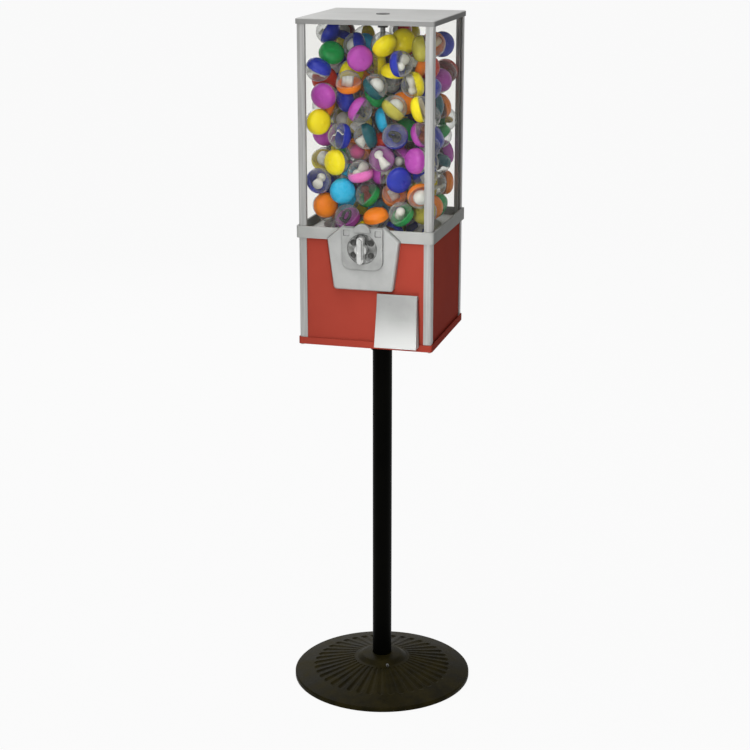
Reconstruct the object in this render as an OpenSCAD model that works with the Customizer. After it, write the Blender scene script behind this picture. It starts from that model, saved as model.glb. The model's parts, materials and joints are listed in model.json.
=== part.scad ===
// Capsule vending machine on a pole stand.
// A square glazed cabinet for 2 inch toy capsules, with a hand-turned coin mechanism
// that drives a pocketed vending wheel, on a tube stand with a fluted cast base.
// The origin is on the floor under the pole, +Z is up and the front faces -Y.

/* [Stand] */
// Diameter of the cast base
base_d = 356; // [330:2:420]
// Height of the base's outer rim
rim_h = 9; // [7:1:14]
// Wall of the base casting
base_wall = 6; // [5:0.5:7]
// Height where the cone of the base meets the hub
cone_h = 37; // [34:1:40]
// Diameter of the flat-topped hub that holds the pole
hub_d = 90; // [84:1:96]
// Height of the top of the hub above the floor
hub_h = 46; // [45:1:50]
// Number of flutes in the top of the base
flute_count = 40; // [24:1:44]
// Radius of a flute's hollow at its outer end
flute_r = 11; // [9:0.5:13]
// Depth of a flute at its outer end
flute_depth = 2.6; // [1.5:0.1:3.2]
// Outer diameter of the pole
pole_d = 38.1; // [32:0.1:42]
// Wall of the pole
pole_wall = 2; // [1.5:0.1:3]
// Height of the machine's underside above the floor
stand_h = 727; // [500:1:900]

/* [Mounting flange] */
// Diameter of the flange plate
flange_d = 120; // [112:1:160]
// Thickness of the flange plate
flange_t = 5; // [3:0.5:8]
// Length of the socket that the pole enters
socket_h = 30; // [24:1:45]
// Wall of the socket
socket_wall = 4; // [3:0.5:6]
// Distance of the bolts from the pole's axis
bolt_r = 44; // [40:1:48]
// Diameter of the flange bolts
bolt_d = 8; // [6:0.5:8]

/* [Cabinet] */
// Width and depth over the corner posts
cab_w = 254; // [250:1:270]
// Height of the cabinet to the top of the lid
cab_h = 604; // [520:1:700]
// Height of the base pan's lip
pan_lip = 13; // [9:1:16]
// Sheet thickness of the base pan
pan_t = 2; // [1.5:0.1:3]
// Width of a corner post's face
post_w = 15; // [13:0.5:18]
// Thickness of a post's outer lip
post_t = 2; // [1.5:0.1:2.5]
// Thickness of a post's inner lip
post_in_t = 1.6; // [1.2:0.1:2]
// Radius of a post's outer corner
post_r = 3; // [1:0.5:4]
// Thickness of the window sheets
glass_t = 3; // [2:0.1:4]
// Thickness of the lower panels
panel_t = 2; // [1:0.1:2.6]
// Height of the collar's lower edge above the machine's underside
collar_z = 204; // [202:1:212]
// Height of the collar
collar_h = 22; // [16:1:26]
// Sheet thickness of the collar
collar_t = 2; // [1.5:0.1:2.5]
// Depth of the collar's ledges
ledge = 3.9; // [3:0.1:5]

/* [Lid and lock] */
// Height of the lid's skirt
skirt_h = 10; // [7:0.5:14]
// Sheet thickness of the lid
lid_t = 1.6; // [1.2:0.1:2.4]
// Thickness of the seal under the lid
seal_t = 1.9; // [1.2:0.1:3]
// Diameter of the lock's face
lock_face_d = 25; // [23:0.5:32]
// Diameter of the lock's barrel
barrel_d = 19; // [18:0.5:21]
// Diameter of the lock's plug
plug_d = 13; // [12.5:0.1:15]
// Diameter of the centre rod
rod_d = 9.5; // [8:0.1:10]

/* [Vending wheel] */
// Number of capsule pockets
pocket_count = 6; // [5:1:6]
// Diameter of a pocket
pocket_d = 55; // [53:0.5:55]
// Distance of the pockets from the wheel's axis
pocket_pitch_r = 58; // [57:0.5:58]
// Radius of the wheel
wheel_r = 95; // [95:0.1:95.5]
// Height of the wheel's body
wheel_h = 46; // [40:1:47]
// Direction of the outlet from the wheel's axis, in degrees
outlet_angle = -36; // [-38:1:-34]
// Height of the top face of the plate under the wheel
deck_z = 127.5; // [126:0.5:128]
// Thickness of the plate under the wheel
deck_t = 3.5; // [2.5:0.1:5]

/* [Gears] */
// Tooth module of the drive
gear_module = 2.5; // [2.5:0.1:2.6]
// Teeth on the pinion
pinion_teeth = 12; // [12:1:12]
// Width of the crown teeth along a radius
crown_face = 8; // [6:0.5:8]
// Play between the teeth
tooth_play = 1.1; // [0.9:0.1:1.4]

/* [Coin mechanism] */
// Height of the knob's axis above the machine's underside
knob_z = 192; // [190:0.5:194]
// Width across the widest part of the front plate
plate_w = 137; // [126:1:150]
// Width of the front plate's lower edge
plate_bottom_w = 114; // [100:1:124]
// Width of the front plate's upper edge
plate_top_w = 80; // [79:1:90]
// Height of the front plate's lower edge above the machine's underside
plate_z = 113; // [112:1:120]
// How far the front plate stands out from the panel
plate_proud = 16; // [14:0.5:20]
// Wall of the front plate
plate_wall = 3; // [2.5:0.1:4]
// Radius of the dish round the knob
dish_r = 28.2; // [27:0.1:30]
// Diameter of the coin, with its play
coin_d = 24.8; // [22:0.1:26]
// Diameter of the knob's shaft
shaft_d = 10; // [8:0.5:11]
// Length of the knob's bar
knob_l = 50; // [44:1:54]
// Width of the knob's bar
knob_w = 12; // [9:0.5:14]
// Depth of the knob in front of the dish
knob_depth = 22; // [16:1:26]

/* [Chute and door] */
// Width of the door at its upper edge
door_w = 76; // [74:0.5:78]
// Extra width of the door at its lower edge
door_flare = 4; // [0:0.5:6]
// Distance of the door's middle from the machine's middle
door_x = 64.5; // [62:0.5:66]
// Height of the door's upper edge above the machine's underside
door_top = 109; // [106:0.5:110]
// Height of the door's lower edge above the machine's underside
door_bottom = 9; // [5:0.5:12]
// How far the door's lower edge stands out from its upper edge
door_lean = 14; // [8:0.5:18]
// Thickness of the door
door_t = 2.6; // [2:0.1:3]
// Diameter of the door's hinge pin
hinge_d = 4; // [3:0.1:4.4]
// Sheet thickness of the chute and the coin box
sheet_t = 1.5; // [1:0.1:2]

/* [Capsules] */
// Diameter of a capsule
capsule_d = 48.2; // [44:0.1:48.3]
// Wall of a capsule
capsule_wall = 1.2; // [0.8:0.1:2]
// Number of layers of capsules
capsule_layers = 10; // [2:1:10]

/* [Hidden] */

$fn = 64;

// Clearances
seat = 0.2; // between parts that are fitted and stay put
turn = 0.05; // between a shaft and its bore, on the radius
free = 0.3; // between parts that move past each other

// Stand
base_r = base_d / 2;
flute_out_r = base_r * 0.765; // where the flutes are deepest
flute_fade = 18; // from there to where they run out
cone_edge_r = base_r * 0.85; // where the cone gives way to the rim band
cone_edge_h = rim_h + 6;
cone_top_r = hub_d / 2 + 5;
socket_r = pole_d / 2 + 11; // the hub's inside, round the pole
cone_angle = atan((cone_h - cone_edge_h) / (cone_edge_r - cone_top_r));
pole_foot = 8; // floor to the lower end of the pole
screw_d = 6; // set screws
base_screw_angle = -62; // the base's screw is at the front, a little to the right

// Cabinet
half = cab_w / 2;
slot = glass_t + 2 * seat;
post_b = post_t + slot;
post_c = post_b + post_in_t;
sheet_y = half - post_t - seat; // outer face of the panels and windows
panel_in = sheet_y - panel_t;
sheet_half = half - post_c - 0.3; // half width of the panels and windows
inner = half - post_c; // inner faces of the posts
web_z = collar_z + 2.5; // underside of the collar's web
web_t = 3;
web_top = web_z + web_t;
collar_out = half + 0.3 + ledge;
lid_under = cab_h - lid_t;
post_top = lid_under - seal_t - free;
pan_in = half + 0.3;
pan_out = pan_in + pan_t;

// Vending wheel and hopper
wheel_z = deck_z + free;
wheel_top = wheel_z + wheel_h;
crown_teeth = pinion_teeth * pocket_count;
crown_r = gear_module * crown_teeth / 2;
pinion_r = gear_module * pinion_teeth / 2;
addendum = 0.88 * gear_module;
dedendum = 1.16 * gear_module;
pitch_z = knob_z - pinion_r; // plane where the pinion rolls on the crown
crown_in = crown_r - crown_face / 2 + 0.5;
crown_out = crown_in + crown_face;
tub_in = wheel_r + 1;
tub_t = 2.5;
mouth_r = pocket_pitch_r + pocket_d / 2 - 1; // opening in the hopper
lip_z = pitch_z + addendum + 3.8; // top of the hopper's inner edge
hopper_t = 2.5;
rim_r = inner - 8; // where the hopper's slope meets its rim
rim_z = web_top + hopper_t;
slope = (rim_z - lip_z) / (rim_r - mouth_r);
cover_r = pinion_r + addendum + 2;
cover_t = 2;
outlet = [pocket_pitch_r * cos(outlet_angle), pocket_pitch_r * sin(outlet_angle)];
standoff_d = 12;
standoffs = [[-22, -92], [inner - 12, -100], [12 - inner, 62], [inner - 12, 62]];

// Coin mechanism, distances along Y from the middle of the machine
plate_y = sheet_y + plate_proud;
face_t = 4.5;
face_y = plate_y + face_t;
face_r = plate_top_w / 2 - 1.5;
plate_top = collar_z + collar_h + 6;
shoulder_z = collar_z + 3;
carrier_y = face_y - 0.9;
carrier_t = 3.3;
back_y = panel_in - 0.3; // front of the back plate
back_t = 2;
back_w = 76;
back_low = knob_z - 42;
back_high = web_z - 0.5;
back_boss = 4;
ratchet_y = back_y - back_t - back_boss - 0.3; // front of the ratchet wheel
ratchet_t = 4;
ratchet_end = ratchet_y - ratchet_t;
ratchet_r = 17.5;
ratchet_teeth = 12;
pinion_front = crown_out;
shaft_end = crown_in - 1.2;
pawl_at = [27, -14];
pin_d = 4;
boss_at = [[-28, -31], [28, -31], [-28, 3], [28, 3]];
mech_screw_d = 4;

// Chute and door
door_half = door_w / 2;
frame_t = 3;
frame_y = sheet_y + 5; // front of the chute's frame
hinge_out = 6.2; // hinge axis in front of the panel
hinge_y = sheet_y + hinge_out;
ear_r = 4.5;
hinge_z = door_top - 7;
door_in = hinge_y + 5; // inner face of the door at the hinge
frame_half = door_half - door_t - 1;
frame_top = hinge_z - 5;
frame_low = pan_lip + 1;
chute_half = frame_half - 0.5;
chute_left = outlet[0] - pocket_d / 2 - 3; // clear of a capsule that drops through the outlet
chute_back = -6;
chute_back_z = 52;
chute_front_z = frame_low + 1;

// Coin slide and coin box
slide_gap = 5;
slide_from = [4, knob_z - 34];
slide_to = [-60, 101];
box_x = [-inner + 4, -44];
box_y = [-panel_in + 6, -10];
box_h = 86;

// Capsules
capsule_r = capsule_d / 2;
capsule_pitch = capsule_d + 0.4;
layer_h = capsule_pitch * sqrt(0.5) + 0.05;
first_layer = rim_z + capsule_r + 0.4;
seam = 0.5; // gap between a cap and its dome

function arc(cx, cy, r, a0, a1, n = 6) =
    [for (i = [0:n]) [cx + r * cos(a0 + (a1 - a0) * i / n), cy + r * sin(a0 + (a1 - a0) * i / n)]];

// Square with rounded corners
module round_square(h, r) {
    polygon(concat(arc(h - r, h - r, r, 0, 90), arc(r - h, h - r, r, 90, 180),
        arc(r - h, r - h, r, 180, 270), arc(h - r, r - h, r, 270, 360)));
}

// Rectangle with rounded corners, from its two corners
module round_rect(a, b, r) {
    polygon(concat(arc(b[0] - r, b[1] - r, r, 0, 90), arc(a[0] + r, b[1] - r, r, 90, 180),
        arc(a[0] + r, a[1] + r, r, 180, 270), arc(b[0] - r, a[1] + r, r, 270, 360)));
}

module square_ring(outer, inside, r, h) {
    linear_extrude(h) difference() {
        round_square(outer, r);
        round_square(inside, max(0.5, r - (outer - inside)));
    }
}

// Everything above the stand is placed from the machine's underside
module machine() {
    translate([0, 0, stand_h]) children();
}

// Solid of a front-view outline, from the depth y0 to the depth y1 in front of the middle
module front_slab(y0, y1) {
    translate([0, -y0, 0]) rotate([90, 0, 0]) linear_extrude(y1 - y0) children();
}

// Round bar along Y at (x, z), from the depth y0 to the depth y1
module front_bar(x, z, r, y0, y1) {
    translate([x, -y0, z]) rotate([90, 0, 0]) cylinder(r = r, h = y1 - y0);
}

module hex_prism(across, h) {
    cylinder(r = across / sqrt(3), h = h, $fn = 6);
}

module at_bolts() {
    for (a = [45:90:315]) rotate(a) translate([bolt_r, 0, 0]) children();
}

// ---- Stand ----

// Cutter for one flute: a slim spindle that lies along the slope and is narrow near the hub
module flute() {
    flute_len = flute_out_r - cone_top_r - 6;
    tip_r = flute_r * 0.3;
    z_out = cone_edge_h + (cone_edge_r - flute_out_r) * tan(cone_angle);
    lift = atan((flute_r - flute_depth - tip_r + 1) / flute_len);
    translate([flute_out_r, 0, z_out + flute_r - flute_depth]) rotate([0, cone_angle - lift - 90, 0])
        rotate_extrude() polygon([
            [0, -flute_fade], [flute_r * 0.3, -flute_fade], [flute_r, 0], [tip_r, flute_len], [0, flute_len],
        ]);
}

module stand_base() {
    color("#2a261a") difference() {
        rotate_extrude() polygon([
            [base_r - base_wall, 0], [base_r, 0], [base_r, rim_h - 2], [base_r - 2, rim_h],
            [cone_edge_r, cone_edge_h], [cone_top_r, cone_h], [hub_d / 2, cone_h + 3],
            [hub_d / 2 - 5, hub_h - 3], [hub_d / 2 - 9, hub_h - 2], [pole_d / 2 + 3, hub_h],
            [pole_d / 2 + turn, hub_h], [pole_d / 2 + turn, pole_foot],
            [pole_d / 2 - 6, pole_foot], [pole_d / 2 - 6, 4], [socket_r, 4],
            [socket_r + 3, cone_h - base_wall], [cone_top_r, cone_h - base_wall],
            [cone_edge_r, cone_edge_h - base_wall], [base_r - base_wall, rim_h - base_wall + 1],
        ]);
        for (i = [0:flute_count - 1]) rotate(360 * (i + 0.5) / flute_count) flute();
        rotate(base_screw_angle) translate([0, 0, cone_h]) rotate([0, 90, 0])
            cylinder(d = screw_d + 0.1, h = hub_d);
    }
}

module set_screw(z, length) {
    translate([pole_d / 2 + turn, 0, z]) rotate([0, 90, 0]) difference() {
        cylinder(d = screw_d, h = length);
        translate([0, 0, length - 3]) hex_prism(3, 4);
    }
}

// One screw holds the pole in the base, and one holds it in the flange
module set_screws() {
    color("#1c1c1c") union() {
        rotate(base_screw_angle) set_screw(cone_h, cone_top_r - pole_d / 2 + 1);
        rotate(90) set_screw(stand_h - flange_t - socket_h / 2, socket_wall + 2);
    }
}

module pole() {
    color("#0c0c0a") translate([0, 0, pole_foot]) difference() {
        cylinder(d = pole_d, h = stand_h - flange_t - pole_foot - seat);
        translate([0, 0, -1]) cylinder(d = pole_d - 2 * pole_wall, h = stand_h);
    }
}

module mounting_flange() {
    color("#141412") difference() {
        translate([0, 0, stand_h - flange_t]) union() {
            cylinder(d = flange_d, h = flange_t);
            translate([0, 0, -socket_h]) cylinder(d = pole_d + 2 * socket_wall, h = socket_h + 1);
        }
        translate([0, 0, stand_h - flange_t - socket_h - 1])
            cylinder(d = pole_d + 2 * turn, h = socket_h + 1);
        translate([0, 0, stand_h - flange_t - 1]) cylinder(d = pole_d - 8, h = flange_t + 2);
        at_bolts() translate([0, 0, stand_h - flange_t - 1]) cylinder(d = bolt_d + 1, h = flange_t + 2);
        rotate(90) translate([0, 0, stand_h - flange_t - socket_h / 2])
            rotate([0, 90, 0]) cylinder(d = screw_d + 0.1, h = pole_d);
    }
}

nut_h = bolt_d * 0.8;
washer_t = 1.6;

module flange_bolts() {
    color("silver") at_bolts() translate([0, 0, stand_h - flange_t]) union() {
        translate([0, 0, -5.3]) hex_prism(bolt_d * 1.6, 5.3);
        translate([0, 0, -1]) cylinder(d = bolt_d, h = 1 + flange_t + pan_t + washer_t + nut_h + 3);
    }
}

module flange_washers() {
    color("silver") at_bolts() translate([0, 0, stand_h + pan_t]) difference() {
        cylinder(d = bolt_d * 2.1, h = washer_t);
        translate([0, 0, -1]) cylinder(d = bolt_d + 0.4, h = washer_t + 2);
    }
}

module flange_nuts() {
    color("silver") at_bolts() translate([0, 0, stand_h + pan_t + washer_t]) difference() {
        hex_prism(bolt_d * 1.6, nut_h);
        translate([0, 0, -1]) cylinder(d = bolt_d + 2 * turn, h = nut_h + 2);
    }
}

// ---- Cabinet ----

port = post_t + slot / 2; // middle of a post's screw port, from its outer faces
port_r = 1.7;

module at_corners() {
    for (sx = [0, 1], sy = [0, 1]) mirror([sx, 0, 0]) mirror([0, sy, 0])
        translate([-half, -half, 0]) children();
}

module base_pan() {
    color("#a93226") machine() difference() {
        union() {
            linear_extrude(pan_t) round_square(pan_out, post_r + 2);
            square_ring(pan_out, pan_in, post_r + 2, pan_lip);
        }
        translate([0, 0, -1]) cylinder(d = rod_d + 0.5, h = pan_t + 2);
        at_bolts() translate([0, 0, -1]) cylinder(d = bolt_d + 1, h = pan_t + 2);
        at_corners() translate([port, port, -1]) cylinder(r = port_r + 0.4, h = pan_t + 2);
    }
}

// Section of a post, from its outer corner inwards: a lip outside and a lip inside
// the slot on each of its two sides, round a solid corner with a screw port.
module post_section() {
    difference() {
        polygon(concat(arc(post_r, post_r, post_r, 180, 270), [
            [post_w, 0], [post_w, post_t], [post_c, post_t], [post_c, post_b],
            [post_w, post_b], [post_w, post_c], [post_c, post_c], [post_c, post_w],
            [post_b, post_w], [post_b, post_c], [post_t, post_c], [post_t, post_w], [0, post_w],
        ]));
        translate([port, port]) circle(r = port_r);
    }
}

module post(sx, sy) {
    color("#b9bab8") machine() mirror([sx, 0, 0]) mirror([0, sy, 0])
        translate([-half, -half, pan_t]) linear_extrude(post_top - pan_t) post_section();
}

module front_left_post() { post(0, 0); }
module front_right_post() { post(1, 0); }
module back_left_post() { post(0, 1); }
module back_right_post() { post(1, 1); }

module post_screws() {
    color("silver") machine() at_corners() translate([port, port, 0]) union() {
        translate([0, 0, -2]) cylinder(r = 3.4, h = 2);
        translate([0, 0, -1]) cylinder(r = port_r - turn, h = 16);
    }
}

// Flat sheet that stands in the posts' slots on the front side
module slotted_sheet(thickness, z0, z1) {
    translate([-sheet_half, -sheet_y, z0]) cube([2 * sheet_half, thickness, z1 - z0]);
}

module lower_panel(angle) {
    color("#a93226") machine() rotate(angle) slotted_sheet(panel_t, pan_t, web_z - free);
}

module front_panel() {
    color("#a93226") machine() difference() {
        slotted_sheet(panel_t, pan_t, web_z - free);
        front_slab(panel_in - 5, sheet_y + 5) {
            round_rect([-34, knob_z - 38], [34, web_z - 5], 4);
            round_rect([door_x - chute_half + 2, frame_low + 3], [door_x + chute_half - 2, frame_top - 3], 4);
        }
    }
}

module right_panel() { lower_panel(90); }
module back_panel() { lower_panel(180); }
module left_panel() { lower_panel(270); }

module window(angle) {
    color("#dfe6e8", 0.35) machine() rotate(angle) slotted_sheet(glass_t, web_top + free, post_top - seat);
}

module front_window() { window(0); }
module right_window() { window(90); }
module back_window() { window(180); }
module left_window() { window(270); }

// Formed band round the posts. Its web lies between the panels and the windows,
// and carries the windows and the hopper.
module collar() {
    color("#b4b5b3") machine() difference() {
        union() {
            translate([0, 0, collar_z]) {
                square_ring(collar_out, collar_out - collar_t, 6, collar_h);
                square_ring(collar_out, half + 0.3, 6, collar_t);
                translate([0, 0, collar_h - collar_t]) square_ring(collar_out, half + 0.3, 6, collar_t);
            }
            for (a = [0:90:270]) rotate(a)
                translate([-(half - post_w - 0.5), -collar_out + collar_t / 2, web_z])
                    cube([2 * (half - post_w - 0.5), collar_out - collar_t / 2 - rim_r - 1.5, web_t]);
        }
        front_slab(sheet_y - 0.5, collar_out + 2) plate_outline(0.6, cut_up = 8);
        // the pinion's shaft and ratchet pass the web
        translate([-cover_r - 1, -sheet_y + glass_t + 0.5, web_z - 1])
            cube([2 * (cover_r + 1), sheet_y, web_t + 2]);
    }
}

// ---- Lid and lock ----

module lid() {
    color("#d0d0ce") machine() difference() {
        union() {
            square_ring_lid();
            translate([0, 0, lid_under]) hull() {
                linear_extrude(lid_t - 1) round_square(lid_out, post_r + 1.5);
                translate([0, 0, lid_t - 0.2]) linear_extrude(0.2) round_square(lid_out - 1.6, post_r + 0.5);
            }
        }
        translate([0, 0, lid_under - 1]) cylinder(d = barrel_d + 2 * seat, h = lid_t + 2);
    }
}

lid_in = half + 0.6;
lid_out = lid_in + lid_t;

module square_ring_lid() {
    translate([0, 0, cab_h - skirt_h]) square_ring(lid_out, lid_in, post_r + 1.5, skirt_h - lid_t + 0.5);
}

module lid_seal() {
    color("#1b1b1b") machine() translate([0, 0, lid_under - seal_t])
        square_ring(half - 0.5, inner - 1, post_r, seal_t);
}

lock_face_t = 1.6;
barrel_h = 24;
rod_top = lid_under - 13;

module lock_barrel() {
    color("#4a4a4a") machine() translate([0, 0, cab_h]) difference() {
        union() {
            cylinder(d = lock_face_d, h = lock_face_t);
            translate([0, 0, -barrel_h]) cylinder(d = barrel_d, h = barrel_h + 0.5);
        }
        translate([0, 0, -barrel_h - 1]) cylinder(d = plug_d + 2 * turn, h = barrel_h + 4);
    }
}

module lock_plug() {
    color("#2e2e2e") machine() difference() {
        translate([0, 0, cab_h - barrel_h]) cylinder(d = plug_d, h = barrel_h + lock_face_t + 0.4);
        translate([-4, -0.8, cab_h + lock_face_t - 3]) cube([8, 1.6, 6]);
        translate([0, 0, cab_h - barrel_h - 1])
            cylinder(d = rod_d + 2 * turn, h = rod_top - cab_h + barrel_h + 1.6);
    }
}

module lock_nut() {
    color("silver") machine() translate([0, 0, lid_under - 5]) difference() {
        hex_prism(barrel_d + 7, 5);
        translate([0, 0, -1]) cylinder(d = barrel_d + 2 * turn, h = 7);
    }
}

rod_foot = 8; // how far the rod reaches below the pan

module centre_rod() {
    color("#c4c4c2") machine() translate([0, 0, -rod_foot]) cylinder(d = rod_d, h = rod_foot + rod_top);
}

module rod_nuts() {
    color("silver") machine() for (z = [-7, pan_t]) translate([0, 0, z]) difference() {
        hex_prism(17, 7);
        translate([0, 0, -1]) cylinder(d = rod_d + 2 * turn, h = 9);
    }
}

// ---- Hopper and vending wheel ----

// Shallow funnel: a sloping ring inside a flat square rim
module hopper() {
    color("#d9dad8") machine() difference() {
        intersection() {
            rotate_extrude() polygon([
                [mouth_r, lip_z - hopper_t], [mouth_r + 1.5, lip_z - hopper_t],
                [rim_r + 1.5, rim_z - hopper_t], [cab_w, rim_z - hopper_t],
                [cab_w, rim_z], [rim_r, rim_z], [mouth_r, lip_z],
            ]);
            translate([0, 0, lip_z - 20]) linear_extrude(100) square(2 * (inner - 0.3), center = true);
        }
        translate([-cover_r, -half, lip_z - 20]) cube([2 * cover_r, half - mouth_r + 5, 100]);
    }
}

module cover_outline(r) {
    translate([0, knob_z]) circle(r = r);
    translate([-r, lip_z - hopper_t]) square([2 * r, knob_z - lip_z + hopper_t]);
}

// Hood that keeps the capsules off the pinion
module gear_cover() {
    color("#d9dad8") machine() intersection() {
        difference() {
            front_slab(mouth_r - 4, inner - 0.3) cover_outline(cover_r - 0.2);
            front_slab(mouth_r - 4 + cover_t, half) cover_outline(cover_r - 0.2 - 1.2);
        }
        // the sides stop short over the ratchet, so that the pawl can reach it
        translate([0, 0, lip_z - hopper_t]) difference() {
            translate([-half, -half, 0]) cube([cab_w, cab_w, 100]);
            translate([-half, -half, -1]) cube([cab_w, half - ratchet_end + 2, rim_z - lip_z - 4]);
        }
    }
}

// Round tub with a floor that reaches the panels
module wheel_deck() {
    color("#c9cac8") machine() difference() {
        union() {
            translate([0, 0, deck_z - deck_t]) linear_extrude(deck_t)
                square(2 * (inner - 0.3), center = true);
            translate([0, 0, deck_z - 1]) cylinder(r = tub_in + tub_t, h = tub_top - deck_z + 1, $fn = 96);
        }
        translate([0, 0, deck_z]) cylinder(r = tub_in, h = wheel_h * 3, $fn = 96);
        translate([0, 0, deck_z - deck_t - 1]) {
            cylinder(d = rod_d + 0.5, h = deck_t + 2);
            translate(outlet) cylinder(d = pocket_d + 2, h = deck_t + 2);
        }
        // gap for the pinion, and clearance for the coin slide
        translate([-cover_r - 1, -half, pitch_z - 6]) cube([2 * cover_r + 2, half - 50, 60]);
        translate([-72, -half, deck_z - deck_t - 1]) cube([66, half - tub_in - tub_t - 6, deck_t + 2]);
    }
}

tub_top = lip_z - hopper_t + (tub_in - mouth_r - 1.5) * slope - free;

module deck_standoffs() {
    color("#9a9a98") machine() for (p = standoffs) translate([p[0], p[1], pan_t])
        cylinder(d = standoff_d, h = deck_z - deck_t - pan_t);
}

crown_step = 360 / crown_teeth;

// Gap between two crown teeth: a straight-sided trapezoid along a radius
module crown_gap() {
    half_gap = (PI * gear_module / 2 + tooth_play) / 2;
    flank = tan(20);
    translate([crown_in - 2, 0, pitch_z]) rotate([90, 0, 90]) linear_extrude(crown_face + 4) polygon([
        [-half_gap + dedendum * flank, -dedendum], [half_gap - dedendum * flank, -dedendum],
        [half_gap + 2 * addendum * flank, 2 * addendum], [-half_gap - 2 * addendum * flank, 2 * addendum],
    ]);
}

crown_top = pitch_z + addendum;
ring_seat = 5; // depth of the step that the toothed ring is pressed on
bush_d = 16;

module vending_wheel() {
    color("#e2e2df") machine() difference() {
        union() {
            translate([0, 0, wheel_z]) cylinder(r = wheel_r, h = wheel_h - ring_seat, $fn = 96);
            translate([0, 0, wheel_z]) cylinder(r = crown_in, h = wheel_h, $fn = 96);
            translate([0, 0, wheel_top - 1]) cylinder(r1 = 25, r2 = 11, h = 19);
        }
        for (i = [0:pocket_count - 1]) rotate(outlet_angle + 360 * i / pocket_count)
            translate([pocket_pitch_r, 0, wheel_z - 1]) cylinder(d = pocket_d, h = wheel_h + 2);
        translate([0, 0, wheel_z - 1]) cylinder(d = bush_d + 2 * turn, h = wheel_h + 30);
    }
}

// Toothed ring, pressed on the step round the wheel's upper edge
module crown_gear() {
    color("#dcdcd8") machine() difference() {
        translate([0, 0, wheel_top - ring_seat])
            cylinder(r = crown_out, h = crown_top - wheel_top + ring_seat, $fn = 96);
        translate([0, 0, wheel_top - ring_seat - 1]) cylinder(r = crown_in + turn, h = crown_top, $fn = 96);
        for (i = [0:crown_teeth - 1]) rotate(-90 + i * crown_step) crown_gap();
    }
}

module wheel_bush() {
    color("#f0efe6") machine() translate([0, 0, wheel_z]) difference() {
        cylinder(d = bush_d, h = wheel_h + 18);
        translate([0, 0, -1]) cylinder(d = rod_d + 2 * turn, h = wheel_h + 20);
    }
}

guard_z = crown_top + 1.2;

// Sector plate over the outlet, so only the capsule in the pocket drops
module outlet_guard() {
    color("#c9cac8") machine() translate([0, 0, guard_z]) difference() {
        intersection() {
            cylinder(r = mouth_r - 0.5, h = 2);
            rotate(outlet_angle) translate([30, -32, -1]) cube([80, 64, 4]);
        }
        translate([0, 0, -1]) cylinder(r = 32, h = 4);
        translate([-cover_r, -half, -1]) cube([2 * cover_r, half - mouth_r + 5, 5]);
    }
}

// Strip of bristles under the guard's leading edge
module guard_brush() {
    color("#20201e") machine() rotate(outlet_angle) translate([36, 28, wheel_top + 0.4])
        cube([42, 4, guard_z - wheel_top - 0.6]);
}

// ---- Chute and door ----

chute_rise = (chute_back_z - chute_front_z) / (panel_in + chute_back - free);

// Outline of the chute from above: it starts under the outlet and narrows to the door
module chute_plan(t = 0) {
    polygon([
        [chute_left + t, 0], [chute_left + t, outlet[1] - pocket_d / 2], [door_x - chute_half + t, -90],
        [door_x - chute_half + t, -half], [door_x + chute_half - t, -half], [door_x + chute_half - t, 0],
    ]);
}

module chute() {
    color("#bdbebc") machine() difference() {
        intersection() {
            linear_extrude(deck_z - deck_t - free) chute_plan();
            rotate([90, 0, 90]) linear_extrude(half) polygon([
                [-panel_in + free, chute_front_z], [chute_back, chute_back_z],
                [chute_back, deck_z], [-panel_in + free, deck_z],
            ]);
        }
        intersection() {
            linear_extrude(deck_z) chute_plan(sheet_t);
            rotate([90, 0, 90]) linear_extrude(half) polygon([
                [-half, chute_front_z + sheet_t - chute_rise * (half - panel_in + free)],
                [chute_back - sheet_t, chute_back_z + sheet_t - chute_rise * sheet_t],
                [chute_back - sheet_t, deck_z], [-half, deck_z],
            ]);
        }
    }
}

module frame_ear(x) {
    translate([x, -sheet_y, 0]) rotate([90, 0, 90]) linear_extrude(frame_t) difference() {
        union() {
            translate([-hinge_out, hinge_z]) circle(r = ear_r);
            translate([-hinge_out, frame_top - 6]) square([hinge_out - 0.1, hinge_z - frame_top + 6]);
        }
        translate([-hinge_out, hinge_z]) circle(d = hinge_d + 2 * turn);
    }
}

// Frame round the outlet in the panel, with two ears for the hinge pin
module chute_frame() {
    color("#a9aaa8") machine() union() {
        front_slab(sheet_y + 0.1, frame_y) translate([door_x, 0]) difference() {
            round_rect([-frame_half, frame_low], [frame_half, frame_top], 3);
            round_rect(
                [-frame_half + frame_t, frame_low + frame_t],
                [frame_half - frame_t, frame_top - frame_t], 2
            );
        }
        for (x = [door_x - frame_half, door_x + frame_half - frame_t]) frame_ear(x);
    }
}

// Door outline in the Y-Z plane, y counted outwards from the middle of the machine
module door_profile(back) {
    polygon([
        [-back, hinge_z + 1.5], [-door_in - door_t + 0.6, door_top - 0.6], [-door_in - door_t, door_top - 2],
        [-door_in - door_lean * 0.42 - door_t, (door_top + door_bottom) / 2],
        [-door_in - door_lean - door_t, door_bottom], [-frame_y - 0.4, door_bottom],
        [-frame_y - 0.4, hinge_z - 10], [-back, hinge_z - 6],
    ]);
}

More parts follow.
